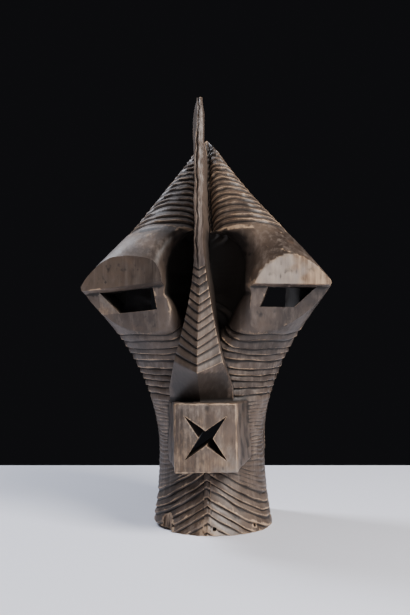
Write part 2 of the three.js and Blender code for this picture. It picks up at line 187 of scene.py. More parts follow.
# Attachment holes along the chin rim, the chip where one broke out and the worn end of the rim
RIM_HOLE_DIAMETER = 5.0
RIM_HOLE_HEIGHT = 8.0
RIM_HOLE_SPACING = 58.0
RIM_HOLE_TURN = math.radians(7)
RIM_HOLES_EACH_SIDE = 2
CHIP_TURN = math.radians(-44)
CHIP_HALF_WIDTH = 11.0
CHIP_DEPTH = 7.5
CHIP_HEIGHT = 30.0
CHIP_FOOT = 8.0
WORN_RIM = 6.0

# Half the width of the cuts under and behind the mask
CUT_REACH = 170.0

# How far the roof's apex leans to the left, and the neck's sway
ROOF_LEAN = -15.0
NECK_SWAY = -2.5

# Carved lines: first and last height on the front, how many lines, rows of mesh in each and the
# share of a line where its step turns back
CHIN_BAND = (-26.0, 64.0, 9, 7, 0.8)
NECK_BAND = (64.0, 160.0, 22, 4, 0.7)
CHEEK_BAND = (160.0, 243.0, 10, 8, 0.74)
HORN_BAND = (374.0, 497.0, 16, 7, 0.76)
NOSE_LINES_TOP = 320.0
NOSE_BAND = (NOSE_TIP_HEIGHT, NOSE_LINES_TOP, 12, 8, 0.8)
PLAIN_ROWS = 36
NOSE_LINE_RISE = 0.65
NOSE_TIP_RISE = 0.4
NOSE_TIP_BLEND = 40.0
CHEVRON_FALL = 45.0
CHEVRON_START = 55.0
CHEVRON_END = 105.0
SMILE_RISE = 46.0
SMILE_OUTER_RISE = 8.0
SMILE_FOOT = 165.0
SMILE_TOP = 240.0
RING_FALL = 34.0
RING_OUTER_FALL = 45.0

# Noises of the wood's finish: turns in a metre, stretch, detail and roughness, for broad
# blotches, grain, flecks, patches and clouds
WOOD_NOISES = (
    (14, (1, 1, 0.6), 4, 0.55),
    (170, (1, 1, 0.06), 4, 0.65),
    (420, (1, 1, 0.4), 2, 0.55),
    (38, (1, 1, 0.8), 5, 0.65),
    (26, (1, 1, 1), 3, 0.55),
)

# Stage: place, size and colour of each light, how far the floor reaches to the sides and how
# far beside the mask's middle the camera aims
LIGHTS = {
    "key": ((1.15, -1.0, 1.4), (0.8, 0.8), (1, 0.97, 0.95)),
    "fill": ((0.4, -1.7, 0.3), (1.2, 1.2), (0.95, 0.96, 1)),
    "rim": ((-1.15, 0.55, 1.5), (0.5, 1.0), (0.86, 0.9, 1)),
}
FLOOR_REACH = 4.0
AIM_OFFSET = math.atan(7.5 / 854)

# The angle from which an edge shows sharp
SHARP_ANGLE = math.radians(42)

# Marks that the mesh carries for the finish: wear, sunk darkening, bare wood with painted light, and
# painted shade; and how strongly the painted shade darkens
MARKS = ("wear", "grime", "bare", "inside")
PAINTED_SHADE_STRENGTH = 0.96

# Shares of a half ring: where the valley ends, where the arc ends and where lines turn
VALLEY_END = 0.12
ARC_END = 0.74
TURN_SHARE = 0.4
OVERRUN = 1.06


def share(value, low, high):
    """How far a value has come from low to high, from 0 to 1."""
    return np.clip((value - low) / (high - low), 0.0, 1.0)


def past(value, low, high):
    """The share without its upper limit."""
    return np.maximum((value - low) / (high - low), 0)


def between(value, low, high):
    return (value > low) & (value < high)


def ease(value, low, high):
    """The share with a smooth start and end: the cubic step."""
    part = share(value, low, high)
    return part * part * (3 - 2 * part)


def mix(a, b, part):
    return a + (b - a) * part


def join(a, b, sign):
    """The lower of two values for sign -1, the upper for 1, with the corner between them rounded."""
    return (a + b + sign * np.hypot(a - b, OUTLINE_CORNER_ROUND)) / 2


def ripple(seed, *axes):
    """Smooth noise between -1 and 1: a sum of six sine waves whose directions and phases are drawn
    from the seed, each wave's frequency near one turn for each unit of the given axes."""
    rng = np.random.default_rng(seed)
    total = 0.0
    for _ in range(6):
        turn = rng.normal(size=len(axes))
        turn *= rng.uniform(0.6, 1.7) / np.linalg.norm(turn)
        phase = rng.uniform(0, 2 * np.pi)
        total = total + np.sin(2 * np.pi * sum(t * a for t, a in zip(turn, axes)) + phase)
    return total / 4


def head_sizes(z):
    """Sizes of the outer form at height z. Half width: the neck plus a power curve up to the brow,
    and from there a nearly straight line to the apex, joined softly. Depths follow the same shares."""
    foot = past(z, NECK_HEIGHT, 0)
    flare = past(z, NECK_HEIGHT, BROW_HEIGHT)
    cheek = past(z, CHEEK_START_HEIGHT, BROW_HEIGHT)
    roof = (z - BROW_HEIGHT) / (APEX_HEIGHT - BROW_HEIGHT)
    roof_left = np.maximum(1 - roof, 0)
    roof_back = np.sign(roof) * np.abs(roof) ** ROOF_DEPTH_CURVE
    apex_depth = REAR_DEPTH - APEX_THICKNESS
    foot_wide = mix(NECK_HALF_WIDTH, BASE_HALF_WIDTH, foot**2)
    lower_wide = foot_wide + (BROW_HALF_WIDTH - NECK_HALF_WIDTH) * flare**FLARE_CURVE
    upper_wide = BROW_HALF_WIDTH * roof_left**ROOF_CURVE + APEX_HALF_WIDTH * np.maximum(roof, 0) ** 4
    foot_forward = mix(NECK_FORWARD, BASE_FORWARD, foot**2)
    lower_front = -foot_forward - (BROW_BULGE - NECK_FORWARD) * cheek**CHEEK_CURVE
    upper_front = -BROW_BULGE + (BROW_BULGE + apex_depth) * roof_back
    front = join(lower_front, upper_front, 1)
    lower_wide_depth = -BROW_WIDE_FORWARD * flare**FLARE_CURVE
    upper_wide_depth = -BROW_WIDE_FORWARD + (BROW_WIDE_FORWARD + apex_depth) * roof
    wide_depth = np.maximum(np.maximum(lower_wide_depth, upper_wide_depth), front + 2)
    wide = np.maximum(join(lower_wide, upper_wide, -1), 2)
    arch = np.sqrt(1 - share(z, VALLEY_ARCH_START, VALLEY_ARCH_TOP) ** 2)
    valley = share(z, VALLEY_FOOT_HEIGHT, VALLEY_SHOULDER_HEIGHT) ** VALLEY_WIDTH_CURVE * arch
    high = ease(z, VALLEY_ARCH_START, VALLEY_ARCH_TOP)
    start_x = mix(RIDGE_STRIP_HALF_WIDTH, VALLEY_HALF_WIDTH, valley)
    upper_floor = np.maximum(-VALLEY_FORWARD, front + ROOF_VALLEY * roof_left)
    rear_rise = ease(z, NECK_HEIGHT / 2, BROW_HEIGHT)
    lower_rear = mix(NECK_REAR_HALF_WIDTH, BROW_REAR_HALF_WIDTH, rear_rise)
    upper_rear = BROW_REAR_HALF_WIDTH * np.maximum(1 - np.maximum(roof, 0) ** REAR_CURVE, 0)
    return SimpleNamespace(
        wide=wide,
        front=front,
        wide_depth=wide_depth,
        start_x=np.minimum(start_x, wide * 0.4),
        lobe=ease(z, LOBE_START_HEIGHT, LOBE_FULL_HEIGHT) * (1 - (1 - ROOF_LOBE) * high),
        peak_rise=ease(z, VALLEY_FOOT_HEIGHT, BROW_HEIGHT),
        valley=valley,
        valley_floor=np.where(z < BROW_HEIGHT, -VALLEY_FORWARD, upper_floor),
        valley_sink=share(z, VALLEY_FOOT_HEIGHT, VALLEY_SHOULDER_HEIGHT) ** VALLEY_SINK_CURVE,
        rear=np.minimum(np.where(z < BROW_HEIGHT, lower_rear, upper_rear), wide - 0.5),
        rear_end=REAR_DEPTH,
    )


def cavity_sizes(z):
    """Sizes of the hollow at height z: the outer sizes less the walls, kept behind the eye faces."""
    outer = head_sizes(z)
    high = ease(z, CHEEK_START_HEIGHT, BROW_HEIGHT)
    front = np.maximum(outer.front + mix(WALL, ROOF_WALL, high), -EYE_WALL_FORWARD)
    rear = np.maximum(outer.rear - WALL, 3)
    wide = np.minimum(outer.wide - mix(WALL, SIDE_WALL, high), rear + HOLLOW_FLARE)
    wide = np.maximum(wide, rear + 0.5)
    return SimpleNamespace(
        wide=wide,
        front=front,
        wide_depth=np.maximum(0.5 * outer.wide_depth + WALL, front + 6),
        start_x=np.minimum(1.25 * outer.start_x, wide * 0.55),
        lobe=outer.lobe,
        peak_rise=0.0,
        valley=0.0,
        valley_floor=outer.valley_floor + WALL,
        valley_sink=outer.valley_sink,
        rear=rear,
        rear_end=REAR_DEPTH + 10,
    )


def half_section(size, u, lobe):
    """Across and depth at share u round one half of a section: along the valley floor and up its
    wall as a hollow quarter curve, round the brow as a squarish lobe that stands out furthest at
    its peak, to the widest place, then back to the rim on a parabola."""
    lobe_peak, lobe_square = lobe
    square = 1 - lobe_square * size.valley
    peak = mix(0.5, lobe_peak, size.peak_rise)
    centre = size.lobe * mix(size.start_x, size.wide, peak)
    outer_reach = size.wide - centre
    inner_reach = np.maximum(mix(outer_reach, centre - size.start_x, size.lobe), 0.5)
    reach_y = size.wide_depth - size.front
    start_angle = np.arccos(np.clip((centre - size.start_x) / inner_reach, -1, 1))
    start_depth = size.wide_depth - reach_y * np.maximum(np.sin(start_angle), 0) ** square
    sunk = mix(start_depth, np.maximum(size.valley_floor, start_depth), size.valley_sink)
    floor = np.minimum(sunk, size.rear_end - 2)
    turn = np.clip(u / VALLEY_END, 0, 1) * np.pi / 2
    valley_x = size.start_x * np.sin(turn) ** VALLEY_BEND
    valley_y = floor + (start_depth - floor) * (1 - np.maximum(np.cos(turn), 0) ** VALLEY_BEND)
    angle = start_angle + (np.pi - start_angle) * share(u, VALLEY_END, ARC_END)
    across = np.cos(angle)
    reach_x = np.where(across > 0, -inner_reach, outer_reach)
    arc_x = centre + reach_x * np.abs(across) ** square
    arc_y = size.wide_depth - reach_y * np.maximum(np.sin(angle), 0) ** square
    back = past(u, ARC_END, 1)
    side_x = size.rear + (size.wide - size.rear) * (1 - back * back)
    side_y = size.wide_depth + (size.rear_end - size.wide_depth) * back
    x = np.where(u < VALLEY_END, valley_x, np.where(u < ARC_END, arc_x, side_x))
    y = np.where(u < VALLEY_END, valley_y, np.where(u < ARC_END, arc_y, side_y))
    return x, y


def line_height(level, u):
    """Height of a carved line: chevrons on the chin, smiles under the eyes, hoops over the brows,
    each as the line's level plus a rise or fall towards the middle and towards the rim."""
    inner = np.maximum(1 - u / TURN_SHARE, 0) ** 2
    outer = past(u, TURN_SHARE, 1) ** 2
    chevron = 1 - ease(level, CHEVRON_START, CHEVRON_END)
    strip = RIDGE_STRIP_HALF_WIDTH / (BASE_HALF_WIDTH * np.pi / 2)
    across = strip * share(u, 0, VALLEY_END) + (1 - strip) * share(u, VALLEY_END, ARC_END)
    smile = ease(level, SMILE_FOOT, SMILE_TOP) * (1 - ease(level, SMILE_TOP, BROW_HEIGHT))
    past_boundary = ease(level, HORN_BAND[0], APEX_HEIGHT)
    hoop = ease(level, BROW_HEIGHT, HORN_BAND[0]) * (1 - 0.75 * past_boundary)
    return (
        level
        + CHEVRON_FALL * chevron * (0.5 - np.sin(np.pi / 2 * across))
        + inner * (SMILE_RISE * smile - RING_FALL * hoop)
        + outer * (SMILE_OUTER_RISE * smile - RING_OUTER_FALL * hoop)
    )


def band_rows(band, depth, seed):
    """Levels of the mesh rows in a band of carved lines, and how deep each row is cut. The lines'
    borders stray a little from even spacing."""
    low, high, count, rows, edge = band
    rng = np.random.default_rng(seed)
    borders = np.linspace(low, high, count + 1)
    pitch = (high - low) / count
    borders[1:-1] += rng.uniform(-0.13, 0.13, count - 1) * pitch
    phase = np.append(np.linspace(0, edge, rows - 1), (1 + edge) / 2)
    levels = borders[:-1, None] + phase[None, :] * np.diff(borders)[:, None]
    return levels.ravel(), np.tile(step_depth(phase, edge), count) * depth / MM


def step_depth(phase, edge):
    """Depth share of a carved step at a phase from 0 to 1: it sinks slowly up to the edge phase and
    then comes back steeply, so that each line overhangs the one below it."""
    return np.where(phase < edge, (phase / edge) ** 1.6, (1 - phase) / (1 - edge))


def surface(x, y, z):
    """A grid of points from coordinates that each may vary along only some of its directions."""
    return np.stack(np.broadcast_arrays(x, y, z), axis=-1)


def grid_normals(points):
    """Unit normals of a grid of closed rings, from the differences along its rows and columns."""
    along = np.roll(points, -1, axis=1) - np.roll(points, 1, axis=1)
    up = np.gradient(points, axis=0)
    normal = np.cross(along, up)
    return normal / np.maximum(np.linalg.norm(normal, axis=2, keepdims=True), 1e-9)


def closed_loft(points, low_pole, high_pole):
    """A closed body through rings of points (rows by columns by 3): quads between successive
    rings, and a fan to a pole at each end."""
    rows, columns, _ = points.shape
    pole = rows * columns
    index = np.arange(pole).reshape(rows, columns)
    following = np.roll(index, -1, axis=1)
    quads = np.stack([index[:-1], following[:-1], following[1:], index[1:]], axis=-1).reshape(-1, 4)
    fans = surface(following[0], index[0], pole).tolist()
    fans += surface(index[-1], following[-1], pole + 1).tolist()
    corners = np.concatenate([points.reshape(-1, 3), [low_pole], [high_pole]])
    return corners, quads.tolist() + fans


def slab(points, thickness):
    """A closed body from a sheet of points and a copy of it moved by the thickness vector, with
    walls between their edges. The sheet's own side faces away from the thickness."""
    rows, columns, _ = points.shape
    count = rows * columns
    flat = points.reshape(-1, 3)
    index = np.arange(count).reshape(rows, columns)
    quads = np.stack([index[:-1, :-1], index[:-1, 1:], index[1:, 1:], index[1:, :-1]], axis=-1)
    quads = quads.reshape(-1, 4)
    rim = np.concatenate([index[0, :-1], index[:-1, -1], index[-1, :0:-1], index[:0:-1, 0]])
    following = np.roll(rim, -1)
    walls = np.stack([following, rim, rim + count, following + count], axis=1)
    faces = quads.tolist() + (quads[:, ::-1] + count).tolist() + walls.tolist()
    return np.concatenate([flat, flat + np.asarray(thickness)]), faces


# The working depths are counted from the widest level of the base, the frame's from its box.
DEPTH_SHIFT = HIGH.y / MM - REAR_DEPTH


def put_object(name, data):
    """A new object for the data, linked into the scene."""
    made = bpy.data.objects.new(name, data)
    bpy.context.scene.collection.objects.link(made)
    return made


def put_body(name, corners, faces):
    """A mesh object in the scene from corners in millimetres, with its faces turned outwards."""
    mesh = bpy.data.meshes.new(name)
    scaled = (np.asarray(corners) + [0.0, DEPTH_SHIFT, 0.0]) * MM
    mesh.from_pydata(scaled.tolist(), [], faces)
    mesh.update()
    if signed_volume(mesh) < 0:
        mesh.flip_normals()
    return put_object(name, mesh)


def read_array(items, name, width, kind=np.float64):
    """One value of each item of a mesh, such as its corners' places, as the rows of an array."""
    values = np.empty(len(items) * width, dtype=kind)
    items.foreach_get(name, values)
    return values.reshape(-1, width)


def signed_volume(mesh):
    """Volume within a mesh: a sixth of the sum of the triple products of its triangles' corners."""
    mesh.calc_loop_triangles()
    triangles = read_array(mesh.loop_triangles, "vertices", 3, np.int64)
    a, b, c = read_array(mesh.vertices, "co", 3)[triangles].transpose(1, 0, 2)
    return float(np.einsum("ij,ij->i", a, np.cross(b, c)).sum() / 6)


def combine(body, shape, operation):
    """Joins or cuts the body with a closed shape, given as its corners and faces."""
    other = put_body(operation.lower(), *shape)
    modifier = body.modifiers.new(other.name, "BOOLEAN")
    modifier.solver = "MANIFOLD"
    modifier.operation = operation
    modifier.object = other
    settle(body)
    bpy.data.objects.remove(other)


def settle(body):
    """Replaces a body's mesh by what its modifiers make of it."""
    graph = bpy.context.evaluated_depsgraph_get()
    graph.update()
    made = bpy.data.meshes.new_from_object(body.evaluated_get(graph))
    body.modifiers.clear()
    body.data = made


def half_columns(valley, arc, side, end):
    """Signed shares round a whole ring, out along one half and back along the other, from the
    number of columns in the valley, on the arc and along the side, and the side's end."""
    valley_part = np.linspace(0, VALLEY_END, valley, endpoint=False)
    arc_part = np.linspace(VALLEY_END, ARC_END, arc, endpoint=False)
    half = np.concatenate([valley_part, arc_part, np.linspace(ARC_END, end, side)])
    return np.concatenate([half, -half[:0:-1]])[None, :]


def sunk_body(z, signed, sections, sink, poles):
    """A closed body of ring sections, at heights z and signed shares round the ring, sunk along
    their normals."""
    x, y = sections
    points = surface(np.where(signed < 0, -x, x), y, z)
    return closed_loft(points - grid_normals(points) * sink[..., None], *poles)


def head_body(depths):
    """Outer form: rows follow the carved lines from the chin to the apex, columns run round each
    half from the middle to past the rim, and each row is sunk along the normal by its line's cut."""
    plain = np.linspace(CHEEK_BAND[1], HORN_BAND[0], PLAIN_ROWS, endpoint=False)
    stretches = (
        band_rows(CHIN_BAND, depths.chin_line, 11),
        band_rows(NECK_BAND, depths.neck_line, 12),
        band_rows(CHEEK_BAND, depths.cheek_line, 13),
        (plain, 0 * plain),
        band_rows(HORN_BAND, depths.brow_line, 14),
    )
    level, cut = (np.concatenate(rows)[:, None] for rows in zip(*stretches))
    signed = half_columns(8, 50, 18, OVERRUN)
    u = np.abs(signed)
    stray = 1.0 * ripple(21, level / 38, signed * 3.2) + 0.45 * ripple(22, level / 9, signed * 6)
    z = np.minimum(line_height(level, u) + stray, APEX_HEIGHT - 1.5)
    lobe = [np.where(signed < 0, left, right) for left, right in zip(LEFT_LOBE, RIGHT_LOBE)]
    uneven = 1 + 0.35 * ripple(23, level / 14, signed * 5)
    fade = mix(1.0, share(u, 0, VALLEY_END * 0.7), ease(level, CHIN_BAND[1], CHEEK_BAND[0]))
    tool_marks = 0.25 * ripple(24, level / 17, signed * 9) + 0.12 * ripple(25, level / 6, signed * 25)
    poles = (0, 0, -NECK_HEIGHT), (0, REAR_DEPTH - APEX_THICKNESS / 2, APEX_HEIGHT)
    sections = half_section(head_sizes(z), u, lobe)
    return sunk_body(z, signed, sections, cut * uneven * fade + tool_marks, poles)


def cavity_body():
    """The hollow: plain sections of the head less its walls, with the shallow scoops of an adze."""
    z = np.linspace(-10, CAVITY_TOP, 100)[:, None]
    signed = half_columns(6, 28, 14, 1)
    scoop = np.abs(ripple(31, z / 30, signed * 5)) + 0.5 * np.abs(ripple(32, z / 12, signed * 11))
    sections = half_section(cavity_sizes(z), np.abs(signed), EVEN_LOBE)
    poles = (0, 0, -12), (0, REAR_DEPTH + 5, CAVITY_TOP + 6)
    return sunk_body(z, signed, sections, 1.1 * scoop, poles)


def prow_sizes(z):
    """Sizes of the crest and nose at height z: how far forward the ridge lies, half the thickness,
    depth of the two facets and depth of the root."""
    underside = share(z, MOUTH_TOP, NOSE_TIP_HEIGHT)
    rise = share(z, CREST_EDGE_FOOT, CREST_PEAK_HEIGHT)
    bow = CREST_BOW * np.sin(np.pi * rise)
    upper = -NOSE_FORWARD - bow + (NOSE_FORWARD - CREST_PEAK_FORWARD) * rise**2
    ridge = np.where(z < NOSE_TIP_HEIGHT, -mix(NOSE_FOOT_FORWARD, NOSE_FORWARD, underside), upper)
    spread = NOSE_SPREAD * share(z, NOSE_BRIDGE_HEIGHT, NOSE_WIDE_HEIGHT) ** NOSE_SPREAD_CURVE
    thin = 1 - 0.45 * ease(z, APEX_HEIGHT - 60, CREST_PEAK_HEIGHT)
    half = CREST_HALF_THICKNESS * thin + spread
    fall = (CREST_PEAK_FORWARD + CREST_HEEL_DEPTH) / (CREST_PEAK_HEIGHT - CREST_HEEL_HEIGHT)
    heel = -CREST_PEAK_FORWARD + CREST_PEAK_DEPTH + (CREST_PEAK_HEIGHT - z) * fall
    _, valley = half_section(head_sizes(np.minimum(z, APEX_HEIGHT - 2)), np.zeros_like(z), EVEN_LOBE)
    facet = NOSE_FACET * spread + 1.5
    back = np.maximum(np.minimum(valley + ROOT_BITE, heel), ridge + facet + 2)
    return ridge, half, facet, back


def prow_body(depths):
    """Crest and nose as one prow. Rows follow the chevrons, which rise from the ridge to the edges
    by a share of the half width, and columns run over the facets and back along the sides. The
    crest's front edge is split by a long crack and frayed into splinters."""
    nose, nose_cut = band_rows(NOSE_BAND, depths.nose_line, 15)
    below = np.linspace(MOUTH_TOP - 6, NOSE_TIP_HEIGHT, 26, endpoint=False)
    above = np.linspace(NOSE_LINES_TOP, CREST_PEAK_HEIGHT - 0.6, 120)
    level = np.concatenate([below, nose, above])[:, None]
    cut = np.concatenate([0 * below, nose_cut, 0 * above])[:, None]
    ridge, half, _, _ = prow_sizes(level)
    fade = 1 - ease(level, NOSE_LINES_TOP - 10, NOSE_BRIDGE_HEIGHT)
    tip_rise = NOSE_TIP_RISE * share(level, MOUTH_TOP, NOSE_TIP_HEIGHT)
    past_tip = ease(level, NOSE_TIP_HEIGHT, NOSE_TIP_HEIGHT + NOSE_TIP_BLEND)
    rise = mix(tip_rise, NOSE_LINE_RISE, past_tip)
    facet_part = (1 - np.cos(np.linspace(0, np.pi, 15)))[None, :] / 2
    side_part = np.linspace(0, 1, 30)[None, 1:] ** 1.5
    facet_z = np.minimum(level + rise * half * fade * facet_part, CREST_PEAK_HEIGHT)
    facet_ridge, facet_half, facet_deep, _ = prow_sizes(facet_z)
    facet_ridge = mix(facet_ridge, ridge, 1 - past_tip)
    facet_x = facet_half * facet_part
    facet_y = facet_ridge + facet_deep * facet_part + cut * (1 - 0.2 * facet_part)
    edge_z = facet_z[:, -1:]
    _, edge_half, edge_facet, edge_back = prow_sizes(edge_z)
    edge_ridge = facet_ridge[:, -1:]
    top_thin = 1 - 0.5 * ease(level, APEX_HEIGHT, CREST_PEAK_HEIGHT)
    root = np.maximum(edge_half, CREST_ROOT_HALF * top_thin)
    side_y = mix(edge_ridge + edge_facet + cut * 0.8, edge_back, side_part)
    side_x = mix(edge_half, root, np.minimum(side_part * 2, 1)) - cut * 0.35 * (1 - side_part) ** 8
    facets = surface(facet_x, facet_y, facet_z)
    right = np.concatenate([facets, surface(side_x, side_y, edge_z)], axis=1)
    left = right[:, :0:-1] * [-1, 1, 1]
    points = np.concatenate([right, left], axis=1)
    x, y, z = points.transpose(2, 0, 1)
    frayed = ease(z, CREST_EDGE_FOOT, CREST_EDGE_FOOT + 50)
    frontness = 1 - share(y - prow_sizes(z)[0], 3, 14)
    path = CRACK_PLACE + 0.9 * ripple(44, z / 90) + 0.4 * ripple(45, z / 24)
    crack = np.exp(-(((x - path) / 0.7) ** 2)) * (1.8 + 1.4 * ripple(46, z / 40))
    splinter = 0.55 * np.abs(ripple(47, x / 1.7, z / 60)) + 0.3 * ripple(43, z / 13, x / 6)
    points[..., 0] += frayed * (0.8 * ripple(41, z / 60) + 0.35 * ripple(42, z / 16))
    points[..., 1] += frayed * frontness * (np.maximum(crack, 0) + splinter + 0.4)
    points[..., 0] += CREST_SHIFT
    low = (CREST_SHIFT, -NECK_FORWARD, MOUTH_TOP - 7)
    high = (CREST_SHIFT, -CREST_PEAK_FORWARD + CREST_PEAK_DEPTH / 2, CREST_PEAK_HEIGHT)
    return closed_loft(points, low, high)


def cube_grid(steps):
    """Surface of a cube from -1 to 1 as six square grids with that many steps along each axis."""
    corners, faces = [], []
    for axis in range(3):
        others = [a for a in range(3) if a != axis]
        for end in (-1, 1):
            first, second = (np.linspace(-1, 1, steps[a] + 1) for a in others)
            a, b = np.meshgrid(first, second, indexing="ij")
            sheet = np.empty(a.shape + (3,))
            sheet[..., axis] = end
            sheet[..., others[0]] = a
            sheet[..., others[1]] = b
            index = np.arange(a.size).reshape(a.shape) + sum(len(c) for c in corners)
            quad = np.stack([index[:-1, :-1], index[1:, :-1], index[1:, 1:], index[:-1, 1:]], axis=-1)
            outwards = (end > 0) != (axis == 1)
            quad = quad if outwards else quad[..., ::-1]
            corners.append(sheet.reshape(-1, 3))
            faces.append(quad.reshape(-1, 4))
    rounded = np.round(np.concatenate(corners), 6)
    keys, inverse = np.unique(rounded, axis=0, return_inverse=True)
    return keys, inverse.ravel()[np.concatenate(faces)]


def mouth_body():
    """Mouth box: a cube grid whose plan follows a quadratic curve from the front corners through
    the waist to the wide root, its faces moved by adze ripples and its edges pulled in a little."""
    cube, faces = cube_grid((34, 26, 36))
    cube = np.sin(cube * np.pi / 2)
    back = (cube[:, 1] + 1) / 2
    ends, bend = (1 - back) ** 2, 2 * back * (1 - back)
    half = MOUTH_HALF_WIDTH * ends + MOUTH_WAIST_HALF_WIDTH * bend + MOUTH_ROOT_HALF_WIDTH * back**2
    y = -(MOUTH_FORWARD * ends + MOUTH_WAIST_FORWARD * bend + MOUTH_ROOT_FORWARD * back**2)
    middle = (MOUTH_BOTTOM + MOUTH_TOP) / 2
    tall = (MOUTH_TOP - MOUTH_BOTTOM) / 2
    tall = tall * (1 - MOUTH_ROOT_SHRINK * share(y, -MOUTH_FORWARD, -MOUTH_ROOT_FORWARD))
    edges = ease(np.sort(np.abs(cube), axis=1)[:, 1], MOUTH_EDGE_START, 1.0)
    x = cube[:, 0] * half * (1 - MOUTH_EDGE_PULL * edges)
    z = cube[:, 2] * tall * (1 - MOUTH_EDGE_PULL * edges)
    y = y + 0.9 * edges * (1 - back)
    wave = 0.5 * ripple(51, x / 24, y / 24, z / 24) + 0.25 * ripple(52, x / 8, y / 8, z / 8)
    x = x + wave * np.sign(cube[:, 0]) * (np.abs(cube[:, 0]) > 0.99)
    y = y - (wave - 0.8) * (cube[:, 1] < -0.99)
    z = z + (wave - 0.4) * np.sign(cube[:, 2]) * (np.abs(cube[:, 2]) > 0.99)
    slope = MOUTH_FLOOR_SLOPE * (cube[:, 2] < -0.5) + MOUTH_ROOF_SLOPE * (cube[:, 2] > 0.5)
    z = z + slope * x
    return surface(x + MOUTH_SHIFT * (1 - back), y, z + middle), faces.tolist()


def ring_outline(corners, step):
    """Points along a closed outline of corners, no further apart than the step."""
    corners = np.asarray(corners, dtype=float)
    following = np.roll(corners, -1, axis=0)
    pieces = []
    for start, end in zip(corners, following):
        count = max(int(np.ceil(np.linalg.norm(end - start) / step)), 1)
        part = np.arange(count)[:, None] / count
        pieces.append(start + (end - start) * part)
    return np.concatenate(pieces)


def front_prism(corners, depths, step, roughness, seed):
    """A prism along the depth from an outline of [across, height], its walls roughened."""
    front, back = depths
    outline = ring_outline(corners, step)
    depth = np.linspace(front, back, max(int((back - front) / step), 2))[:, None]
    middle = outline.mean(axis=0)
    away = outline - middle
    away /= np.linalg.norm(away, axis=-1, keepdims=True)
    x, z = outline.T
    rough = roughness * ripple(seed, x / 10, depth / 10, z / 10)
    points = surface(x + rough * away[:, 0], depth, z + rough * away[:, 1])
    return closed_loft(points, (middle[0], front, middle[1]), (middle[0], back, middle[1]))


def turn_about_z(angle):
    sin_a, cos_a = math.sin(angle), math.cos(angle)
    return np.array([[cos_a, -sin_a, 0], [sin_a, cos_a, 0], [0, 0, 1]])


def on_face(corners, face, splay):
    """Corners turned to a face's tilt and splay about the middle of the brow's lower edge, and
    mirrored for the left side."""
    middle = np.array([(VALLEY_HALF_WIDTH + BROW_HALF_WIDTH) / 2, -face["forward"], BROW_HEIGHT])
    sin_tilt, cos_tilt = math.sin(face["tilt"]), math.cos(face["tilt"])
    about_y = np.array([[cos_tilt, 0, sin_tilt], [0, 1, 0], [-sin_tilt, 0, cos_tilt]])
    turned = (np.asarray(corners) - middle) @ about_y.T @ turn_about_z(splay).T + middle
    return turned * [face["side"], 1, 1]


def brow_cutter(face):
    """What is cut away before one brow: a sheet that follows the brow face, the lintel under it
    and the sloping eye face, thickened forwards, with shallow adze ripples."""
    side = face["side"]
    foot = np.array([-EYE_FOOT_FORWARD, EYE_FOOT_HEIGHT])
    under = np.array([-face["forward"] + EYE_STEP, BROW_HEIGHT - face["lintel"]])
    lip = np.array([-face["forward"], BROW_HEIGHT])
    top = np.array([-face["forward"], BROW_HEIGHT + 60])
    stretches = ((foot, under, 24, False), (under, lip, 5, False), (lip, top, 26, True))
    profile = np.concatenate(
        [mix(a, b, np.linspace(0, 1, n, endpoint=last)[:, None]) for a, b, n, last in stretches]
    )
    x = np.linspace(RIDGE_STRIP_HALF_WIDTH + 10, BROW_HALF_WIDTH + 30, 66)[None, :]
    y, z = profile[:, :1], profile[:, 1:]
    adze = ripple(61 + side, x / 22, z / 22) + 0.5 * ripple(65 + side, x / 7, z / 9)
    corners, faces = slab(surface(x, y + 0.45 * adze + 0.4, z), (0, -140, 0))
    return on_face(corners, face, FACE_SPLAY), faces


def eye_slot(face):
    """The slot through one eye face: a parallelogram that leans outwards at the top."""
    top = BROW_HEIGHT - face["lintel"]
    bottom = top - face["slot_height"]
    inner_top, inner_bottom, outer_top, outer_bottom = face["slot"]
    corners = [[inner_bottom, bottom], [outer_bottom, bottom], [outer_top, top], [inner_top, top]]
    depths = (-face["forward"] - 20, -VALLEY_FORWARD + WALL)
    points, faces = front_prism(corners, depths, 3.0, 0.6, 71 + face["side"])
    return on_face(points, face, 0.0), faces


def star_hole():
    """The pierced mouth: a star of four long tips and four narrow waists."""
    corners = []
    for arm in range(4):
        tip = math.pi / 4 + arm * math.pi / 2
        waist = tip + math.pi / 4
        reach = (math.copysign(STAR_REACH_X, math.cos(tip)), math.copysign(STAR_REACH_Z, math.sin(tip)))
        corners.append(reach)
        corners.append((STAR_WAIST * round(math.cos(waist)), STAR_WAIST * round(math.sin(waist))))
    depths = (-MOUTH_FORWARD - 20, -NECK_FORWARD + WALL + 10)
    points, faces = front_prism(corners, depths, 2.5, 0.25, 75)
    return points + [MOUTH_SHIFT, 0, (MOUTH_BOTTOM + MOUTH_TOP) / 2], faces


def rim_point(angle, inset):
    """Point at an angle round the chin rim, the inset within the outer face."""
    across = (BASE_HALF_WIDTH - inset) * math.sin(angle)
    return np.array([across, -(BASE_FORWARD - inset) * math.cos(angle), 0])


def rim_hole(place):
    """A round hole through the chin rim, square to it, its wall a little uneven."""
    angle = RIM_HOLE_TURN + place * RIM_HOLE_SPACING / BASE_HALF_WIDTH
    middle = rim_point(angle, WALL / 2)
    turn = np.linspace(0, 2 * np.pi, 18, endpoint=False)[None, :]
    along = np.linspace(-2 * WALL, 2 * WALL, 14)[:, None]
    across, up = np.cos(turn), np.sin(turn)
    size = RIM_HOLE_DIAMETER / 2 * (1 + 0.12 * ripple(81 + place, along / 9, across, up))
    local = surface(size * across, along, size * up)
    middle = middle + [0, 0, RIM_HOLE_HEIGHT]
    spin = turn_about_z(angle).T
    ends = np.array([[0, -2 * WALL, 0], [0, 2 * WALL, 0]]) @ spin + middle
    return closed_loft(local @ spin + middle, ends[0], ends[1])


def chip_share(z):
    """Width share of the chip at height z: full at the rim, closing at the top like an arch."""
    return np.sqrt(np.maximum(1 - (np.maximum(z, 0) / CHIP_HEIGHT) ** 2, 0.0))


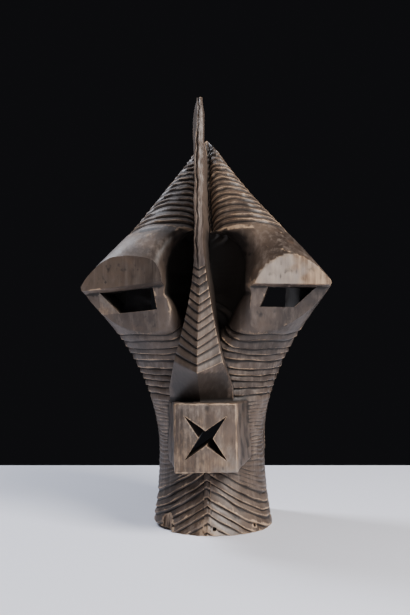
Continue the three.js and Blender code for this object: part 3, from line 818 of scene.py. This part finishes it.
def chip_cut():
    """The chip beside the broken hole: upright rings, elliptical in plan and arched at the top,
    fluted by splinters that run up and down."""
    middle = rim_point(CHIP_TURN, 0.0)
    turn = np.linspace(0, 2 * np.pi, 72, endpoint=False)[None, :]
    z = np.linspace(-CHIP_FOOT, CHIP_HEIGHT - 0.4, 40)[:, None]
    flutes = 1 + 0.16 * ripple(91, 6 * np.cos(turn), 6 * np.sin(turn), z / 60)
    size = chip_share(z) * (flutes - 0.3 * share(z, 8, CHIP_HEIGHT) * np.sin(3 * turn) ** 2)
    local = surface(CHIP_HALF_WIDTH * size * np.cos(turn), CHIP_DEPTH * size * np.sin(turn), z)
    spin = turn_about_z(CHIP_TURN).T
    low, high = middle - [0, 0, CHIP_FOOT], middle + [0, 0, CHIP_HEIGHT]
    return closed_loft(local @ spin + middle, low, high)


def ground_cut():
    """What is cut away below the chin rim: a level sheet that rises a little at the worn end of
    the rim by the chip, thickened downwards."""
    x = np.linspace(-CUT_REACH, CUT_REACH, 90)[:, None]
    y = np.linspace(-150, 130, 74)[None, :]
    worn = WORN_RIM * ease(-x, 38, 78) * (1 - ease(y, -30, 40))
    nibbled = 0.7 * np.maximum(ripple(95, x / 22, y / 22), 0) * (y < 20)
    return slab(surface(x, y, worn + nibbled), (0, 0, -120))


def rear_cut():
    """What is cut away behind the open rim: an upright sheet with shallow ripples."""
    x = np.linspace(-CUT_REACH, CUT_REACH, 90)[:, None]
    z = np.linspace(-20, 510, 140)[None, :]
    depth = REAR_DEPTH - 0.6 * np.abs(ripple(92, x / 25, z / 25))
    return slab(surface(x, depth, z), (0, 60, 0))


def carve(sizes):
    """The whole mask: head, less what is cut before the brows, plus prow and mouth box, less the
    hollow, the slots, the star, the rim holes and the chip, cut flat below and behind."""
    mask = put_body("carved_mask", *head_body(sizes))
    faces = (RIGHT_FACE, LEFT_FACE)
    for face in faces:
        combine(mask, brow_cutter(face), "DIFFERENCE")
    combine(mask, prow_body(sizes), "UNION")
    combine(mask, mouth_body(), "UNION")
    cuts = [cavity_body(), star_hole(), *map(eye_slot, faces)]
    cuts += [rim_hole(place) for place in range(-RIM_HOLES_EACH_SIDE, RIM_HOLES_EACH_SIDE + 1)]
    cuts += [chip_cut(), ground_cut(), rear_cut()]
    for cut in cuts:
        combine(mask, cut, "DIFFERENCE")
    return mask


def lean(x, y, z):
    """The hand-carved lean: the neck sways, the roof leans the more the further back it lies, and
    the right brow stands higher than the left."""
    sway = NECK_SWAY * ease(z, 0, LOBE_START_HEIGHT) * (1 - ease(z, VALLEY_FOOT_HEIGHT, BROW_HEIGHT))
    back = share(y, -CREST_PEAK_FORWARD, 0)
    roof = share(z, BROW_HEIGHT, APEX_HEIGHT)
    outward = np.sign(x) * share(np.abs(x), VALLEY_HALF_WIDTH, BROW_HALF_WIDTH)
    bump = ease(z, CHEEK_START_HEIGHT, BROW_HEIGHT) * (1 - ease(z, BROW_HEIGHT + 20, APEX_HEIGHT))
    return surface(x + sway + ROOF_LEAN * roof * back, y, z + BROW_SLANT * outward * bump)


def lean_mesh(mesh):
    """Moves a mesh's corners by the lean and draws its width in to the frame's box."""
    corners = read_array(mesh.vertices, "co", 3)
    leaned = lean(*(corners / MM - [0, DEPTH_SHIFT, 0]).T)
    leaned = (leaned + [0, DEPTH_SHIFT, 0]) * MM
    leaned[:, 0] *= min(HIGH.x / leaned[:, 0].max(), LOW.x / leaned[:, 0].min(), 1.0)
    mesh.vertices.foreach_set("co", leaned.ravel())
    mesh.update()


class Shade:
    """An output socket that takes part in arithmetic: each operation adds a Math node."""

    def __init__(self, socket):
        self.socket = socket
        self.tree = socket.id_data

    @staticmethod
    def node(tree, kind, settings=None, inputs=None, output=0):
        """Adds a node, sets its settings first and then its sockets' values or links, and gives
        one of its outputs, if it has any."""
        made = tree.nodes.new(kind)
        for name, value in (settings or {}).items():
            setattr(made, name, value)
        for name, value in (inputs or {}).items():
            socket = made.inputs[name]
            if isinstance(value, Shade):
                tree.links.new(value.socket, socket)
            else:
                socket.default_value = value
        return Shade(made.outputs[output]) if made.outputs else None

    def math(self, operation, *values, swap=False):
        values = (*values, self) if swap else (self, *values)
        inputs = dict(enumerate(values))
        return self.node(self.tree, "ShaderNodeMath", {"operation": operation}, inputs)

    def __add__(self, other):
        return self.math("ADD", other)

    __radd__ = __add__

    def __mul__(self, other):
        return self.math("MULTIPLY", other)

    __rmul__ = __mul__

    def __sub__(self, other):
        return self.math("SUBTRACT", other)

    def __rsub__(self, other):
        return self.math("SUBTRACT", other, swap=True)

    def step(self, low, high):
        """0 below low, 1 above high, smooth between."""
        inputs = {0: self, 1: low, 2: high}
        settings = {"interpolation_type": "SMOOTHSTEP"}
        return self.node(self.tree, "ShaderNodeMapRange", settings, inputs)


class WoodPattern:
    """The patterns that the wood's finish is built from, on Object coordinates."""

    def __init__(self, tree):
        self.tree = tree
        self.place = Shade.node(tree, "ShaderNodeTexCoord", output="Object")

    def noise(self, scale, stretch, detail, roughness):
        mapping = {"Vector": self.place, "Scale": stretch}
        stretched = Shade.node(self.tree, "ShaderNodeMapping", None, mapping)
        inputs = {"Vector": stretched, "Scale": scale, "Detail": detail, "Roughness": roughness}
        return Shade.node(self.tree, "ShaderNodeTexNoise", None, inputs, "Fac")

    def attribute(self, name):
        return Shade.node(self.tree, "ShaderNodeAttribute", {"attribute_name": name}, output="Fac")

    def mix(self, part, first, second):
        """Goes from the first colour to the second, each a socket or red, green and blue."""
        first, second = (c if isinstance(c, Shade) else (*c, 1) for c in (first, second))
        inputs = {0: part, 6: first, 7: second}
        return Shade.node(self.tree, "ShaderNodeMix", {"data_type": "RGBA"}, inputs, 2)


def wood_finish(finish):
    """Dark patina with blotches and grain, pale worn edges, near-black where the surface sinks in, bare
    wood, painted light in the bare wood's colours and painted shade in near-black.
    """
    material = bpy.data.materials.new("carved_wood_patina")
    material.use_nodes = True
    tree = material.node_tree
    tree.nodes.clear()
    pattern = WoodPattern(tree)
    blotch, grain, fleck, patch, cloud = (pattern.noise(*noise) for noise in WOOD_NOISES)
    wear, grime, bare, inside = (pattern.attribute(name) for name in MARKS)
    base = pattern.mix(blotch.step(0.35, 0.68), finish.dark, finish.patina)
    base = pattern.mix(grain.step(0.42, 0.75) * 0.5, base, finish.dry)
    base = pattern.mix(patch.step(0.56, 0.74) * 0.4, base, finish.brown)
    worn = (wear + (cloud - 0.5) * 1.1 + (fleck - 0.5) * 0.6).step(0.72, 1.15)
    base = pattern.mix(worn * finish.wear, base, finish.worn)
    # The bare wood's colours also paint light: the right brow face's highlight and the chin's bounce
    # light.
    bare_and_lit_colour = pattern.mix(grain.step(0.36, 0.66), finish.bare_dark, finish.bare)
    bare_and_lit_colour = pattern.mix(cloud.step(0.42, 0.6) * 0.75, bare_and_lit_colour, finish.bare_grey)
    bare_and_painted_light = (bare + (patch - 0.5) * 0.7 + (fleck - 0.5) * 0.4).step(0.3, 0.75)
    base = pattern.mix(bare_and_painted_light, base, bare_and_lit_colour)
    # Darkens towards the near-black cut colour where the surface sinks in, down into the carved cuts.
    sunk_dark_share = (grime + (fleck - 0.5) * 0.2).step(0.1, 0.65)
    base = pattern.mix(sunk_dark_share * 0.9, base, finish.cut)
    # Painted shade: the hollow's inner walls and the painted shade places turn near-black.
    base = pattern.mix(inside * PAINTED_SHADE_STRENGTH, base, finish.cut)
    rough = 0.47 + worn * 0.2 + sunk_dark_share * 0.15 + (grain - 0.5) * 0.18
    height = grain * 0.5 + fleck * 0.25 + patch * 0.6
    bump_inputs = {"Strength": 0.5, "Distance": 0.0012, "Height": height}
    bump = Shade.node(tree, "ShaderNodeBump", None, bump_inputs)
    shader_inputs = {"Base Color": base, "Roughness": rough, "Normal": bump, "Specular IOR Level": 0.4}
    shader = Shade.node(tree, "ShaderNodeBsdfPrincipled", None, shader_inputs)
    Shade.node(tree, "ShaderNodeOutputMaterial", None, {"Surface": shader})
    return material


def spread(values, edges, counts, rounds):
    """Averages values with their neighbours along the edges, as many times as there are rounds."""
    for _ in range(rounds):
        total = np.zeros_like(values)
        np.add.at(total, edges[:, 0], values[edges[:, 1]])
        np.add.at(total, edges[:, 1], values[edges[:, 0]])
        values = 0.5 * values + 0.5 * total / counts.reshape(-1, *([1] * (values.ndim - 1)))
    return values


def mark_wear(mesh):
    """Writes how far each corner stands out of (wear) or sinks into its smoothed surroundings, measured
    along the normal, where the wood is bare and where light is painted in its colours, and where shade
    is painted: on the hollow's inner walls and at the painted shade places."""
    corners = read_array(mesh.vertices, "co", 3)
    normals = read_array(mesh.vertex_normals, "vector", 3)
    edges = read_array(mesh.edges, "vertices", 2, np.int64)
    counts = np.maximum(np.bincount(edges.ravel(), minlength=len(corners)), 1)
    near = spread(corners, edges, counts, 3)
    wide = spread(near, edges, counts, 12)
    near_out, wide_out = (
        np.einsum("ij,ij->i", corners - smooth, normals) / MM for smooth in (near, wide)
    )
    wear = 0.85 * share(near_out, 0, 0.3) + 0.25 * share(wide_out, 0, 1.4)
    # How far each corner sinks in, near and wide, for the darkening.
    grime = 0.6 * share(-near_out, 0, 0.4) + 0.7 * share(-wide_out, 0, 1.2)
    x, y, z = (corners / MM - [0, DEPTH_SHIFT, 0]).T
    # Painted shade: the hollow's inner walls behind the front, and the painted shade places; worn edges
    # there are taken off.
    inward = -(normals[:, 0] * x + normals[:, 1] * (y - REAR_DEPTH / 2))
    inside = np.maximum(share(inward, 0, 12) * (y > -80), painted_shade_places(x, y, z))
    wear = np.clip(wear + rubbed_edges(x, y, z), 0, 1.3) * (1 - share(inside, 0.2, 0.6))
    for name, values in zip(MARKS, (wear, grime, bare_wood_and_painted_light(x, y, z), inside)):
        layer = mesh.attributes.new(name, "FLOAT", "POINT")
        layer.data.foreach_set("value", values.astype(np.float32))


def painted_shade_places(x, y, z):
    """Share of painted shade, where the key light from the right falls least: deep in the valleys, on
    the eye faces and the left brow face, and on the nose's left facet and underside."""
    by_crest = np.abs(x - CREST_SHIFT)
    valley = between(z, LOBE_FULL_HEIGHT - 40, VALLEY_ARCH_TOP) & (by_crest > CREST_ROOT_HALF - 2)
    valley = valley & (np.abs(x) < VALLEY_HALF_WIDTH + 12)
    brow_foot = BROW_HEIGHT - 2
    beside = np.abs(x) > VALLEY_HALF_WIDTH - 4
    eyes = beside & between(z, LOBE_FULL_HEIGHT - 60, brow_foot) & between(y, -104, -60)
    left_brow = beside & (x < 0) & between(z, brow_foot, BROW_HEIGHT + 44) & (y < -88)
    nose = between(z, MOUTH_TOP, LOBE_FULL_HEIGHT) & (y < prow_sizes(z)[0] + 22) & (by_crest < 34)
    # Painted shade in each of these places.
    shades = (
        0.7 * valley * share(y, -112, -70),
        0.3 * eyes,
        0.38 * left_brow,
        0.75 * nose * (z < NOSE_TIP_HEIGHT),
        0.6 * nose * (x < CREST_SHIFT - 1),
    )
    return np.max(shades, axis=0)


def rubbed_edges(x, y, z):
    """Extra wear along the front edges of the mouth box and of the nose."""
    from_side = MOUTH_HALF_WIDTH - np.abs(x - MOUTH_SHIFT)
    from_rim = np.minimum(from_side, np.minimum(MOUTH_TOP - z, z - MOUTH_BOTTOM))
    box = (y < -MOUTH_FORWARD + 3) * (from_rim > -2) * (1 - share(from_rim, 0.8, 2.4))
    ridge, half, facet, _ = prow_sizes(z)
    from_edge = half - np.abs(x - CREST_SHIFT)
    on_nose = between(z, MOUTH_TOP, NOSE_LINES_TOP) & between(y - ridge - facet, -3, 3)
    on_nose = on_nose & between(from_edge, -2, 2) & (x > CREST_SHIFT)
    return 0.75 * box + 0.7 * on_nose * (1 - share(from_edge, 0.5, 1.6))


def bare_wood_and_painted_light(x, y, z):
    """Share of bare wood and painted light: the crest's front edge, the right brow face as a painted
    highlight where the key light falls, the left slot's outer wall, the mouth box's front and most of
    all its lower right, the chip, and the chin's front just above the rim as painted light bounced up
    from the floor."""
    crest = ease(z, CREST_EDGE_FOOT + 10, CREST_EDGE_FOOT + 40) * (np.abs(x - CREST_SHIFT) < 8)
    crest = 0.3 * crest * (1 - share(y - prow_sizes(z)[0], 2, 7))
    middle = (VALLEY_HALF_WIDTH + BROW_HALF_WIDTH) / 2
    forward = np.where(x > 0, RIGHT_FACE["forward"], LEFT_FACE["forward"])
    face_depth = y + forward - (np.abs(x) - middle) * math.tan(FACE_SPLAY)
    on_brow = between(face_depth, -2.6, 2.6) & between(z, BROW_HEIGHT - 5, BROW_HEIGHT + 48)
    # Painted highlight: only the right brow face, which the key light falls on, is made pale.
    brow = 0.85 * on_brow * (x > VALLEY_HALF_WIDTH - 6)
    wall = 0.55 * (between(x, -128, -98) & between(z, 268, BROW_HEIGHT - 6) & (face_depth > 6))
    mouth = 0.42 + 0.5 * share(x, 12, 40) * (1 - share(z, MOUTH_BOTTOM, MOUTH_BOTTOM + 22))
    mouth = mouth * between(z, MOUTH_BOTTOM - 4, MOUTH_TOP + 4) * (y < -MOUTH_FORWARD + 5)
    offset = surface(x, y, z) - rim_point(CHIP_TURN, 0.0)
    along, inwards, _ = (offset @ turn_about_z(CHIP_TURN)).T
    reach = np.hypot(along / CHIP_HALF_WIDTH, inwards / CHIP_DEPTH)
    chipped = 1.2 * (reach < 1.25 * chip_share(z) + 0.02) * (z < CHIP_HEIGHT)
    # Painted light: a pale patch on the chin above the rim for the light bounced up from the floor.
    rim = 0.6 * (1 - share(z, 10, 42)) * (1 - share(np.abs(x - 5), 10, 44))
    return np.clip(crest + brow + mouth + chipped + (wall + rim) * (y < -50), 0, 1)


def tidy_mesh(body):
    """Welds corners closer than a hundredth of a millimetre and turns every face into triangles."""
    weld = body.modifiers.new("weld", "WELD")
    weld.merge_threshold = 0.01 * MM
    body.modifiers.new("triangles", "TRIANGULATE")
    settle(body)


def depth_property(name, description, default):
    return FloatProperty(name=name, description=description, default=default, unit="LENGTH")


def colour_property(name, description, default):
    return FloatVectorProperty(name=name, description=description, default=default, subtype="COLOR")


def plain_property(name, description, default, subtype="NONE"):
    return FloatProperty(name=name, description=description, default=default, subtype=subtype)


class MaskSizes(bpy.types.PropertyGroup):
    chin_line: depth_property("Chin line depth", "Depth of the chin's chevron cuts", 0.0021)
    neck_line: depth_property("Neck line depth", "Depth of the neck's fine cuts", 0.0006)
    cheek_line: depth_property("Cheek line depth", "Depth of the cuts under the eyes", 0.0024)
    brow_line: depth_property("Brow line depth", "Depth of the hoops over the brows", 0.0022)
    nose_line: depth_property("Nose line depth", "Depth of the nose's chevron cuts", 0.0027)


class MaskFinish(bpy.types.PropertyGroup):
    dark: colour_property("Dark patina", "Darkest blotches", (0.03, 0.02, 0.015))
    patina: colour_property("Patina", "Main surface colour", (0.104, 0.073, 0.054))
    dry: colour_property("Dry grain", "Greyed grain streaks", (0.18, 0.142, 0.118))
    brown: colour_property("Brown patches", "Warm rubbed patches", (0.115, 0.07, 0.045))
    worn: colour_property("Worn edges", "Edges rubbed to the wood", (0.46, 0.315, 0.2))
    # The bare colours also paint light: the right brow face's highlight and the chin's bounce light.
    bare: colour_property("Bare wood", "Pale grain of bare wood", (0.34, 0.235, 0.15))
    bare_dark: colour_property("Bare wood shade", "Dark grain of bare wood", (0.14, 0.088, 0.055))
    bare_grey: colour_property("Bare grey", "Greyed bare wood", (0.22, 0.19, 0.165))
    # The cut colour darkens where the surface sinks in, and also paints shade: on the hollow's inner
    # walls, in the valleys, on the eye faces, the left brow face and the nose's left facet and
    # underside.
    cut: colour_property("Cuts", "Dirt in the carved cuts", (0.012, 0.009, 0.0075))
    wear: plain_property("Wear", "How strongly edges are worn", 0.7, "FACTOR")


class StageLook(bpy.types.PropertyGroup):
    distance: depth_property("Camera distance", "From the middle of the base", 1.1)
    height: depth_property("Camera height", "Above the floor", 0.275)
    azimuth: plain_property("Camera azimuth", "Round the mask", math.radians(5.2), "ANGLE")
    lens: plain_property("Lens", "Focal length in millimetres", 50.0)
    room: colour_property("Room", "Colour of the dark room", (0.006, 0.006, 0.007))
    floor: colour_property("Floor", "Floor colour", (0.74, 0.75, 0.82))
    floor_end: depth_property("Floor end", "How far the floor reaches behind the mask", 0.41)
    key: plain_property("Key light", "Power in watts", 74.0)
    fill: plain_property("Fill light", "Power in watts", 3.0)
    rim: plain_property("Rim light", "Power in watts", 42.0)


class OBJECT_OT_carve_mask(bpy.types.Operator):
    """Carves the mask and gives it its worn, dark finish"""

    bl_idname = "object.carve_kifwebe_mask"
    bl_label = "Carve Mask"

    def execute(self, context):
        mask = carve(context.scene.mask_sizes)
        tidy_mesh(mask)
        mark_wear(mask.data)
        lean_mesh(mask.data)
        mask.data.shade_smooth()
        mask.data.set_sharp_from_angle(angle=SHARP_ANGLE)
        mask.data.materials.clear()
        mask.data.materials.append(wood_finish(context.scene.mask_finish))
        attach(mask, "root")
        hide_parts(NODE)
        return {"FINISHED"}


def area_light(name, place, size, power, colour):
    """A soft rectangular light aimed at the middle of the mask."""
    light = bpy.data.lights.new(name, "AREA")
    light.shape = "RECTANGLE"
    light.size, light.size_y = size
    light.energy = power
    light.color = colour
    lamp = put_object(name, light)
    lamp.location = place
    aim = Vector((0, 0, HIGH.z / 2)) - Vector(place)
    lamp.rotation_euler = aim.to_track_quat("-Z", "Y").to_euler()


class OBJECT_OT_set_stage(bpy.types.Operator):
    """Sets the pale floor, the soft studio light and the camera"""

    bl_idname = "object.set_mask_stage"
    bl_label = "Set Stage"

    def execute(self, context):
        look = context.scene.stage_look
        heading = look.azimuth + AIM_OFFSET
        mesh = bpy.data.meshes.new("floor")
        near, side, far = -FLOOR_REACH, FLOOR_REACH, look.floor_end
        corners = [(near, near, 0), (side, near, 0), (side, far, 0), (near, far, 0)]
        mesh.from_pydata(corners, [], [(0, 1, 2, 3)])
        material = bpy.data.materials.new("floor_paint")
        material.use_nodes = True
        shader = material.node_tree.nodes["Principled BSDF"]
        shader.inputs["Base Color"].default_value = (*look.floor, 1)
        shader.inputs["Roughness"].default_value = 0.6
        mesh.materials.append(material)
        floor = put_object("floor", mesh)
        floor.rotation_euler = (0, 0, heading)
        world = bpy.data.worlds.new("studio")
        world.use_nodes = True
        world.node_tree.nodes["Background"].inputs["Color"].default_value = (*look.room, 1)
        context.scene.world = world
        for name, (place, size, colour) in LIGHTS.items():
            area_light(name, place, size, getattr(look, name), colour)
        lens = bpy.data.cameras.new("camera")
        lens.lens = look.lens
        camera = put_object("camera", lens)
        across, back = look.distance * math.sin(look.azimuth), look.distance * math.cos(look.azimuth)
        camera.location = (across, DEPTH_SHIFT * MM - back, look.height)
        camera.rotation_euler = (math.pi / 2, 0, heading)
        context.scene.camera = camera
        return {"FINISHED"}


class VIEW3D_PT_kifwebe_mask(bpy.types.Panel):
    bl_label = "Kifwebe Mask"
    bl_idname = "VIEW3D_PT_kifwebe_mask"
    bl_space_type = "VIEW_3D"
    bl_region_type = "UI"
    bl_category = "Mask"

    def draw(self, context):
        for group_name, kind in GROUPS.items():
            box = self.layout.box()
            for name in kind.__annotations__:
                box.prop(getattr(context.scene, group_name), name)
        for operator in OPERATORS:
            self.layout.operator(operator.bl_idname)


GROUPS = {"mask_sizes": MaskSizes, "mask_finish": MaskFinish, "stage_look": StageLook}
OPERATORS = (OBJECT_OT_carve_mask, OBJECT_OT_set_stage)
CLASSES = (*GROUPS.values(), *OPERATORS, VIEW3D_PT_kifwebe_mask)


def register():
    for cls in CLASSES:
        bpy.utils.register_class(cls)
    for name, kind in GROUPS.items():
        setattr(bpy.types.Scene, name, PointerProperty(type=kind))


def unregister():
    for name in GROUPS:
        delattr(bpy.types.Scene, name)
    for cls in reversed(CLASSES):
        bpy.utils.unregister_class(cls)


def main():
    register()
    bpy.ops.object.set_mask_stage()
    bpy.ops.object.carve_kifwebe_mask()


if __name__ == "__main__":
    main()
